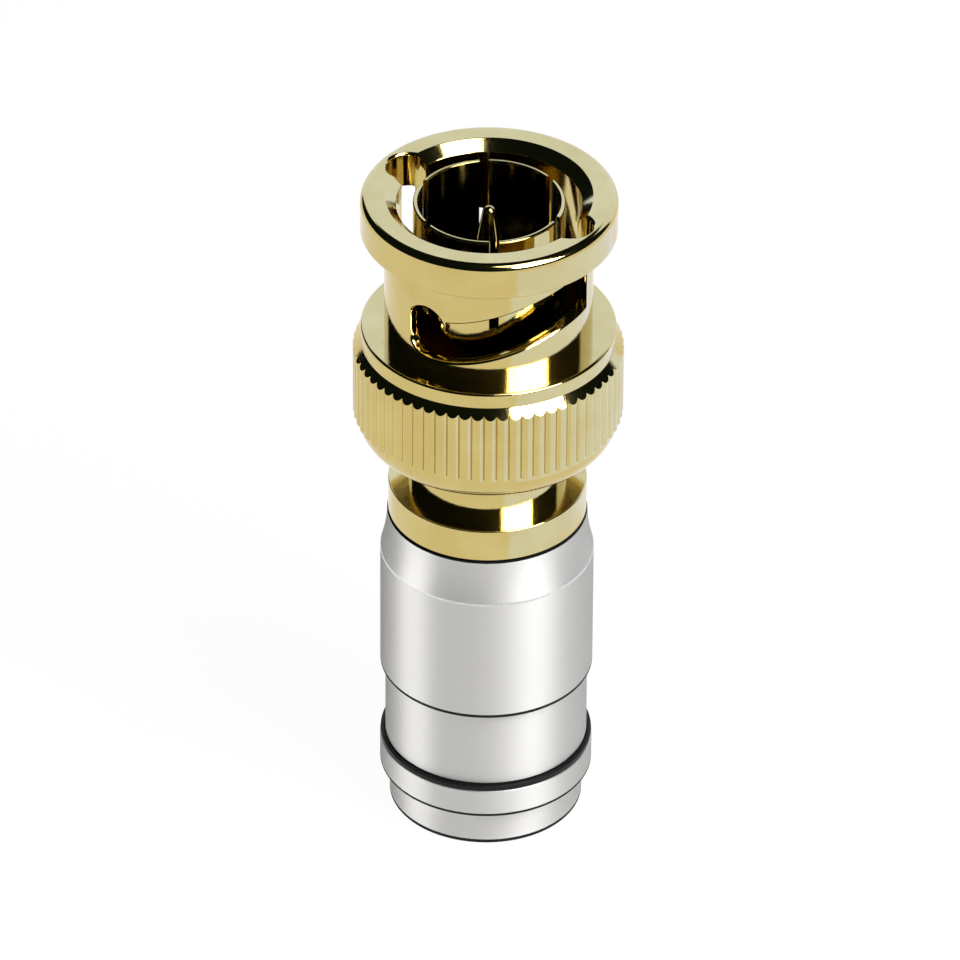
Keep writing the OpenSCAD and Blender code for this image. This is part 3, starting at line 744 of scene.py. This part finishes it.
def shell():
    rim_r, out_r, flare_len = 5.4, 5.77, 2.6
    front_z, seam = BAND_Z - FIT, 0.12
    shadow_line_top = SHELL_Z + 0.24
    flare_in = out_r - rim_r
    flare_r = (flare_len ** 2 + flare_in ** 2) / (2 * flare_in)
    flare_angle = math.degrees(math.asin(flare_len / flare_r))
    flare = arc(rim_r + flare_r, front_z, flare_r, 180 + flare_angle, 180, 14)
    crease_z = flare[0][1]
    flare[0] = (out_r, crease_z, 0.5)
    flare[-1] = (rim_r, front_z - seam, 0.04)
    obj = lathe("shell", "connector_body", [NICKEL, NICKEL_CREASE, NICKEL_PAINTED_SHADOW], "nickel_plate", [
        (SHELL_BORE_R, SHELL_Z, 0.05),
        (out_r, SHELL_Z, 0.12),
        (out_r, shadow_line_top, 0),
        *flare,
        (SEAT_R + 0.12, front_z - seam, 0.02),
        (SEAT_R + 0.12, front_z, 0.02),
        (SEAT_R + FIT, front_z, 0.03),
        (SEAT_R + FIT, SEAT_Z, 0.04),
        (SHELL_BORE_R, SEAT_Z, 0.04),
    ])
    finish_and_shadow_band(obj, 1, out_r - 0.1, crease_z - 0.09, crease_z + 0.09)
    # the shell's rear edge and the step of its front seam get near-black bands: painted shadow lines
    finish_and_shadow_band(obj, 2, out_r - 0.2, SHELL_Z, shadow_line_top)
    finish_and_shadow_band(obj, 2, SEAT_R, front_z - seam - 0.02, front_z)


def compression_sleeve():
    collar_z, collar_r, foot_r = RING_Z - 1.7, 5.78, 5.25
    entry_r, entry_len = 3.5, 4
    foot_shadow_top, collar_shadow_top, ring_shadow_top = 0.27, collar_z + 0.2, TUBE_Z + 0.09
    obj = lathe("compression_sleeve", "compression_sleeve", [NICKEL, NICKEL_PAINTED_SHADOW], "nickel_plate", [
        (entry_r, 0, 0.12),
        (foot_r, 0, 0.2),
        (foot_r, foot_shadow_top, 0),
        (foot_r, collar_z, 0.04),
        (collar_r, collar_z, 0.12),
        (collar_r, collar_shadow_top, 0),
        (collar_r, RING_Z, 0.06),
        (SLEEVE_R, RING_Z, 0.02),
        (SLEEVE_R, ring_shadow_top, 0),
        *groove_corners(SLEEVE_R, SHELL_BORE_R - FIT - ORING_GROOVE, SLEEVE_TOP - 0.7),
        (SLEEVE_R, SLEEVE_TOP - 0.25, 0.04),
        (SLEEVE_R - 0.25, SLEEVE_TOP, 0.04),
        (SLEEVE_BORE_R, SLEEVE_TOP, 0.06),
        (SLEEVE_BORE_R, entry_len, 0.04),
        (entry_r, entry_len, 0.04),
    ])
    # near-black bands at the foot's lower edge, the collar's lower edge and the wall just above the black
    # ring: painted shadow lines
    finish_and_shadow_band(obj, 1, foot_r - 0.25, 0, foot_shadow_top)
    finish_and_shadow_band(obj, 1, collar_r - 0.2, collar_z, collar_shadow_top)
    finish_and_shadow_band(obj, 1, SLEEVE_R - 0.02, RING_Z, ring_shadow_top)


def post():
    head_z = SEAT_Z + FIT
    tail_z, tube_r, barb_h, barb_len, barbs = low_z("post"), 2.6, 0.25, 0.9, 3
    teeth = []
    for i in range(barbs):
        teeth += [(tube_r + barb_h, tail_z + (i + 0.9) * barb_len, 0.02),
                  (tube_r, tail_z + (i + 1) * barb_len, 0.03)]
    lathe("post", "connector_body", NICKEL_BRIGHT, "nickel_plate", [
        (POST_BORE_R, tail_z, 0.05), (tube_r, tail_z, 0.05), *teeth,
        (tube_r, head_z, 0.08),
        (POST_HEAD_R - FIT, head_z, 0.05),
        (POST_HEAD_R - FIT, POST_TOP, 0.05),
        (POST_BORE_R, POST_TOP, 0.05),
    ])


def ring(node, body, material, slot, r_in, r_out, fillet, columns=256):
    """A plain ring between two radii, as tall as its node."""
    low, high = low_z(node), high_z(node)
    lathe(node, body, material, slot, [
        (r_in, low, fillet), (r_out, low, fillet), (r_out, high, fillet), (r_in, high, fillet)], columns)


def oring(node, body):
    """An O-ring: its section is a circle as wide as its node is tall."""
    low, high = low_z(node), high_z(node)
    half = (high - low) / 2
    middle_r = radius(node) - half
    lathe(node, body, RUBBER, "black_rubber",
          [(middle_r + half * math.cos(a), low + half + half * math.sin(a), 0)
           for a in np.linspace(0, 2 * math.pi, 24, endpoint=False)], 256)


def insulators():
    low, high = FRONT_INSULATOR_Z, high_z("front_insulator")
    outer, seat_r, hole_r = INSULATOR_R - FIT, PIN_SHOULDER_R + FIT, PIN_STEM_R + FIT
    seat_top = low + PIN_SHOULDER_LEN + FIT
    lathe("front_insulator", "connector_body", INSULATOR, "insulator_plastic", [
        (seat_r, low, 0.03), (outer, low, 0.08), (outer, high, 0.12), (hole_r, high, 0.06),
        (hole_r, seat_top, 0.03), (seat_r, seat_top, 0.03)])
    ring("rear_insulator", "connector_body", INSULATOR, "insulator_plastic", 0.92, outer, 0.06)
    low, high = low_z("pin_guide"), high_z("pin_guide")
    lathe("pin_guide", "connector_body", INSULATOR, "insulator_plastic", [
        (POST_BORE_R - FIT, low, 0.05), (outer, low, 0.06), (outer, high, 0.06), (0.5, high, 0.04),
        (0.5, high - 0.35, 0.05)])


def ferrule():
    low, high = low_z("grip_ferrule"), high_z("grip_ferrule")
    inner, outer, bevel = 3.9, SLEEVE_BORE_R - FIT, 0.3
    lathe("grip_ferrule", "compression_sleeve", NICKEL_BRIGHT, "nickel_plate", [
        (inner + bevel, low, 0.03), (outer, low, 0.05), (outer, high - bevel, 0.05),
        (outer - bevel, high, 0.05), (inner, high, 0.03), (inner, low + bevel, 0.03)])


main_body()
shell()
compression_sleeve()
post()
insulators()
ferrule()
ring("indicator_ring", "compression_sleeve", BLACK_RING, "black_ring", SLEEVE_R + FIT,
     radius("indicator_ring"), 0.05, COLUMNS)
ring("thrust_washer", "nut_carrier", NICKEL_BRIGHT, "nickel_plate", JOURNAL_R + RUN, CHAMBER_R - RUN, 0.04)
ring("cable_seal", "compression_sleeve", RUBBER, "black_rubber", 3.85, SLEEVE_BORE_R - FIT, 0.12)
ring("front_gasket", "connector_body", SILICONE, "silicone", GASKET_FLOOR_R + FIT, BORE_R - 2 * RUN, 0.15)
oring("body_oring", "connector_body")
oring("sleeve_oring", "compression_sleeve")


# ---------------------------------------------------------------- snap ring and wave springs

def swept(name, sections, open_ends):
    """A strip or wire through sections of points, closed on itself unless its ends are open."""
    count, size = len(sections), len(sections[0])
    faces = []
    for i in range(count - 1 if open_ends else count):
        k = (i + 1) % count
        for j in range(size):
            l = (j + 1) % size
            faces.append((i * size + j, k * size + j, k * size + l, i * size + l))
    if open_ends:
        faces.append(tuple(range(size)))
        faces.append(tuple((count - 1) * size + j for j in reversed(range(size))))
    obj = closed(mesh_object(name, [p for s in sections for p in s], faces))
    obj.data.shade_smooth()
    obj.data.set_sharp_from_angle(angle=math.radians(40))
    return obj


def strip_section(r_in, r_out, angle, z, thickness, bevel):
    """A flat strip's section with bevelled corners, on a plane through the axis."""
    outline = [(r_in + bevel, z), (r_out - bevel, z), (r_out, z + bevel), (r_out, z + thickness - bevel),
               (r_out - bevel, z + thickness), (r_in + bevel, z + thickness),
               (r_in, z + thickness - bevel), (r_in, z + bevel)]
    return [(r * math.cos(angle), r * math.sin(angle), h) for r, h in outline]


def snap_ring():
    gap, low = math.radians(30), SNAP_Z
    thickness = high_z("snap_ring") - low
    sections = [strip_section(CHAMBER_R - 0.85, CHAMBER_R + SNAP_GROOVE - FIT, a, low, thickness, 0.05)
                for a in np.linspace(gap / 2, 2 * math.pi - gap / 2, 180)]
    place(swept("snap_ring_bent", sections, True), "coupling_nut", STEEL, "spring_steel", "snap_ring")


def wave_springs():
    waves, thickness, travel = 3, 0.12, 0.55
    r_in, r_out = JOURNAL_R + 3 * RUN, CHAMBER_R - 4 * RUN
    for node in ("wave_spring_rear", "wave_spring_front"):
        low, high = low_z(node), high_z(node)
        height = (high - low - thickness) / 2
        sections = [strip_section(r_in, r_out, a, low + height * (1 + math.cos(waves * a)), thickness, 0.02)
                    for a in np.linspace(0, 2 * math.pi, 192, endpoint=False)]
        spring = swept(node + "_strip", sections, False)
        place(spring, "connector_body", STEEL, "spring_steel", node)
        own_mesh(spring)


snap_ring()
wave_springs()


# ---------------------------------------------------------------- camera

AZIMUTH, ELEVATION, ROLL = 33, 35, 0.35  # degrees
DISTANCE = 0.6
LENS, SENSOR = 418, 36
AIM_Z = 20.5  # height on the axis that the camera aims at, in millimetres
AIM_SIDE = 0.4  # distance of the aim to the left of the axis, in millimetres

front = Vector((math.sin(math.radians(AZIMUTH)), -math.cos(math.radians(AZIMUTH)), 0))
right = Vector((math.cos(math.radians(AZIMUTH)), math.sin(math.radians(AZIMUTH)), 0))
up = Vector((0, 0, 1))
AIM = up * AIM_Z * MM - right * AIM_SIDE * MM


def heading(side, elevation):
    """The direction that lies side degrees right of the camera's azimuth, at an elevation."""
    a, e = math.radians(side), math.radians(elevation)
    return math.cos(e) * (math.cos(a) * front + math.sin(a) * right) + math.sin(e) * up


def camera():
    data = bpy.data.cameras.new("camera")
    data.lens, data.sensor_width = LENS, SENSOR
    data.clip_start, data.clip_end = 0.01, 100
    obj = bpy.data.objects.new("camera", data)
    toward = heading(0, ELEVATION)
    obj.location = AIM + DISTANCE * toward
    turn = toward.to_track_quat("Z", "Y")
    obj.rotation_euler = (turn @ Quaternion((0, 0, 1), math.radians(ROLL))).to_euler()
    bpy.context.scene.collection.objects.link(obj)
    bpy.context.scene.camera = obj


# ---------------------------------------------------------------- floor, world and lamps

GOLD_PIECES = ("coupling_nut_turned", "main_body_turned")
SILVER_PIECES = ("shell_turned", "compression_sleeve_turned")
UNGLOWED = SILVER_PIECES + ("indicator_ring_turned",)  # what the cool glow doesn't reach
CARD_START, CARD_END = 29 * MM, 70 * MM  # distances from the axis
CARD_SECTOR = (82, 56, 5)  # heading, half width and soft edge, in degrees
WALL_SECTOR = (168, 43, 4)
WALL_TOP = math.radians(41)
CARD_COLOR, CARD_GLOW = (1.02, 1.06, 1.1), (0, 0.1, 0.62)
WALL_COLOR, WALL_GLOW = (1.02, 1.08, 1.13), (0, 0.12, 0.7)
ROOM_COLOR = (0.006, 0.009, 0.008)


def ramp(nodes, links, value, zero_at, one_at):
    """A smooth mask of a value: 0 at one bound and 1 at the other."""
    node = nodes.new("ShaderNodeMapRange")
    node.interpolation_type = "SMOOTHSTEP"
    node.inputs["From Min"].default_value = zero_at
    node.inputs["From Max"].default_value = one_at
    links.new(value, node.inputs["Value"])
    return node.outputs["Result"]


def sector(nodes, links, place_or_direction, middle, half, soft):
    """A mask that is 1 within half degrees of a heading round the object and 0 past soft degrees more."""
    flat = nodes.new("ShaderNodeVectorMath")
    flat.operation = "MULTIPLY"
    flat.inputs[1].default_value = (1, 1, 0)
    links.new(place_or_direction, flat.inputs[0])
    unit = nodes.new("ShaderNodeVectorMath")
    unit.operation = "NORMALIZE"
    links.new(flat.outputs["Vector"], unit.inputs[0])
    dot = nodes.new("ShaderNodeVectorMath")
    dot.operation = "DOT_PRODUCT"
    dot.inputs[1].default_value = heading(middle, 0)
    links.new(unit.outputs["Vector"], dot.inputs[0])
    edge, full = math.cos(math.radians(half + soft)), math.cos(math.radians(half))
    return ramp(nodes, links, dot.outputs["Value"], edge, full)


def tinted(nodes, links, mask, below, above):
    """The first colour, or the second where the mask is 1."""
    mix = nodes.new("ShaderNodeMix")
    mix.data_type = "RGBA"
    links.new(mask, mix.inputs["Factor"])
    for socket, color in (("A", below), ("B", above)):
        if isinstance(color, tuple):
            mix.inputs[socket].default_value = (*color, 1)
        else:
            links.new(color, mix.inputs[socket])
    return mix.outputs["Result"]


def card_mask(nodes, links, where):
    """The card on the floor: a part of a ring round the object's axis."""
    away = nodes.new("ShaderNodeVectorMath")
    away.operation = "LENGTH"
    links.new(where, away.inputs[0])
    distance = away.outputs["Value"]
    near_edge = ramp(nodes, links, distance, CARD_START, 1.1 * CARD_START)
    far_edge = ramp(nodes, links, distance, CARD_END, 0.9 * CARD_END)
    card = link_math(nodes, links, "MULTIPLY", near_edge, far_edge)
    return link_math(nodes, links, "MULTIPLY", card, sector(nodes, links, where, *CARD_SECTOR))


def wall_mask(nodes, links, direction):
    """The studio's wall: a part of the horizon behind the object, up to an elevation."""
    unit = nodes.new("ShaderNodeVectorMath")
    unit.operation = "NORMALIZE"
    links.new(direction, unit.inputs[0])
    split = nodes.new("ShaderNodeSeparateXYZ")
    links.new(unit.outputs["Vector"], split.inputs["Vector"])
    low = ramp(nodes, links, split.outputs["Z"], math.sin(WALL_TOP + 0.02), math.sin(WALL_TOP - 0.02))
    return link_math(nodes, links, "MULTIPLY", low, sector(nodes, links, direction, *WALL_SECTOR))


def cool_glow(name, corners, faces, mask, color):
    """A sheet of extra cool light that reflections see, apart from those in the silver and the black ring."""
    mesh = bpy.data.meshes.new(name)
    mesh.from_pydata(corners, [], faces)
    obj = bpy.data.objects.new(name, mesh)
    bpy.context.scene.collection.objects.link(obj)
    obj.visible_camera = obj.visible_diffuse = obj.visible_shadow = False
    material = bpy.data.materials.new(name)
    material.use_nodes = True
    nodes, links = material.node_tree.nodes, material.node_tree.links
    nodes.clear()
    glow = nodes.new("ShaderNodeEmission")
    glow.inputs["Color"].default_value = (*color, 1)
    links.new(mask(nodes, links, nodes.new("ShaderNodeTexCoord").outputs["Object"]), glow.inputs["Strength"])
    both = nodes.new("ShaderNodeAddShader")
    links.new(nodes.new("ShaderNodeBsdfTransparent").outputs["BSDF"], both.inputs[0])
    links.new(glow.outputs["Emission"], both.inputs[1])
    output = nodes.new("ShaderNodeOutputMaterial")
    links.new(both.outputs["Shader"], output.inputs["Surface"])
    mesh.materials.append(material)
    link_pieces(obj, UNGLOWED, "EXCLUDE")


def cool_sheets():
    """The glow over the floor's card, and the glow before the studio's wall."""
    side, lift, far = 75 * MM, 0.05 * MM, 2.0
    flat = [(-side, -side, lift), (side, -side, lift), (side, side, lift), (-side, side, lift)]
    cool_glow("card_glow", flat, [(0, 1, 2, 3)], card_mask, CARD_GLOW)
    turns = [heading(WALL_SECTOR[0] + 5 * step, 0) * far for step in range(-10, 11)]
    low = [(turn.x, turn.y, lift) for turn in turns]
    high = [(turn.x, turn.y, far) for turn in turns]
    count = len(turns)
    faces = [(n, n + 1, count + n + 1, count + n) for n in range(count - 1)]
    cool_glow("wall_glow", low + high, faces, wall_mask, WALL_GLOW)


def floor():
    """A wide white floor. Camera and reflections see it brighter than it lights the object.

    Reflections also show a brighter card on it, past the part's shadow on the right.
    """
    half = 3.0
    mesh = bpy.data.meshes.new("floor")
    corners = [(-half, -half, 0), (half, -half, 0), (half, half, 0), (-half, half, 0)]
    mesh.from_pydata(corners, [], [(0, 1, 2, 3)])
    obj = bpy.data.objects.new("floor", mesh)
    bpy.context.scene.collection.objects.link(obj)
    material = bpy.data.materials.new("floor_white")
    material.use_nodes = True
    nodes, links = material.node_tree.nodes, material.node_tree.links
    nodes.clear()
    path = nodes.new("ShaderNodeLightPath")
    seen = link_math(nodes, links, "MAXIMUM", path.outputs["Is Camera Ray"], path.outputs["Is Glossy Ray"])
    where = nodes.new("ShaderNodeTexCoord").outputs["Object"]
    card = link_math(nodes, links, "MULTIPLY", card_mask(nodes, links, where), path.outputs["Is Glossy Ray"])
    diffuse = nodes.new("ShaderNodeBsdfDiffuse")
    diffuse.inputs["Color"].default_value = (0.8, 0.8, 0.8, 1)
    faint = nodes.new("ShaderNodeBsdfDiffuse")
    faint.inputs["Color"].default_value = (0.07, 0.07, 0.07, 1)
    glow = nodes.new("ShaderNodeEmission")
    glow.inputs["Strength"].default_value = 0.96
    links.new(tinted(nodes, links, card, (1, 1, 1), CARD_COLOR), glow.inputs["Color"])
    both = nodes.new("ShaderNodeAddShader")
    links.new(faint.outputs["BSDF"], both.inputs[0])
    links.new(glow.outputs["Emission"], both.inputs[1])
    mix = nodes.new("ShaderNodeMixShader")
    links.new(seen, mix.inputs["Fac"])
    links.new(diffuse.outputs["BSDF"], mix.inputs[1])
    links.new(both.outputs["Shader"], mix.inputs[2])
    output = nodes.new("ShaderNodeOutputMaterial")
    links.new(mix.outputs["Shader"], output.inputs["Surface"])
    mesh.materials.append(material)


def world():
    """A dark studio with a bright wall behind the object, and white where the camera sees it."""
    data = bpy.data.worlds.new("studio")
    data.use_nodes = True
    bpy.context.scene.world = data
    nodes, links = data.node_tree.nodes, data.node_tree.links
    nodes.clear()
    direction = nodes.new("ShaderNodeTexCoord").outputs["Generated"]
    room = tinted(nodes, links, wall_mask(nodes, links, direction), ROOM_COLOR, WALL_COLOR)
    path = nodes.new("ShaderNodeLightPath")
    white = tinted(nodes, links, path.outputs["Is Camera Ray"], room, (1, 1, 1))
    background = nodes.new("ShaderNodeBackground")
    links.new(white, background.inputs["Color"])
    output = nodes.new("ShaderNodeOutputWorld")
    links.new(background.outputs["Background"], output.inputs["Surface"])


def link_pieces(obj, pieces, state):
    """Light from obj reaches only the named pieces, or all but them where the state is EXCLUDE."""
    lit = bpy.data.collections.new(obj.name + "_pieces")
    for piece in pieces:
        lit.objects.link(bpy.data.objects[piece])
    for entry in lit.collection_objects:
        entry.light_linking.link_state = state
    obj.light_linking.receiver_collection = lit


def softbox(name, side, elevation, distance, width, height, power, pieces=()):
    """A rectangular lamp that faces the object from a direction given from the camera's side.

    Where pieces are named, it lights those alone.
    """
    data = bpy.data.lights.new(name, "AREA")
    data.shape = "RECTANGLE"
    data.size, data.size_y = width, height
    data.energy = power
    obj = bpy.data.objects.new(name, data)
    toward = heading(side, elevation)
    obj.location = AIM + distance * toward
    obj.rotation_euler = toward.to_track_quat("Z", "Y").to_euler()
    bpy.context.scene.collection.objects.link(obj)
    if pieces:
        link_pieces(obj, pieces, "INCLUDE")


bpy.context.scene.view_settings.view_transform = "Standard"
camera()
floor()
world()
cool_sheets()
softbox("key", 47, 51, 0.35, 0.17, 0.32, 1.15)
softbox("key_foot", 45, 36, 0.35, 0.235, 0.075, 1.6, GOLD_PIECES)
softbox("left_fill", -78, 5, 0.4, 0.25, 0.1, 0.5, SILVER_PIECES)
softbox("right_fill", 58, 5, 0.4, 0.22, 0.1, 0.25, SILVER_PIECES)
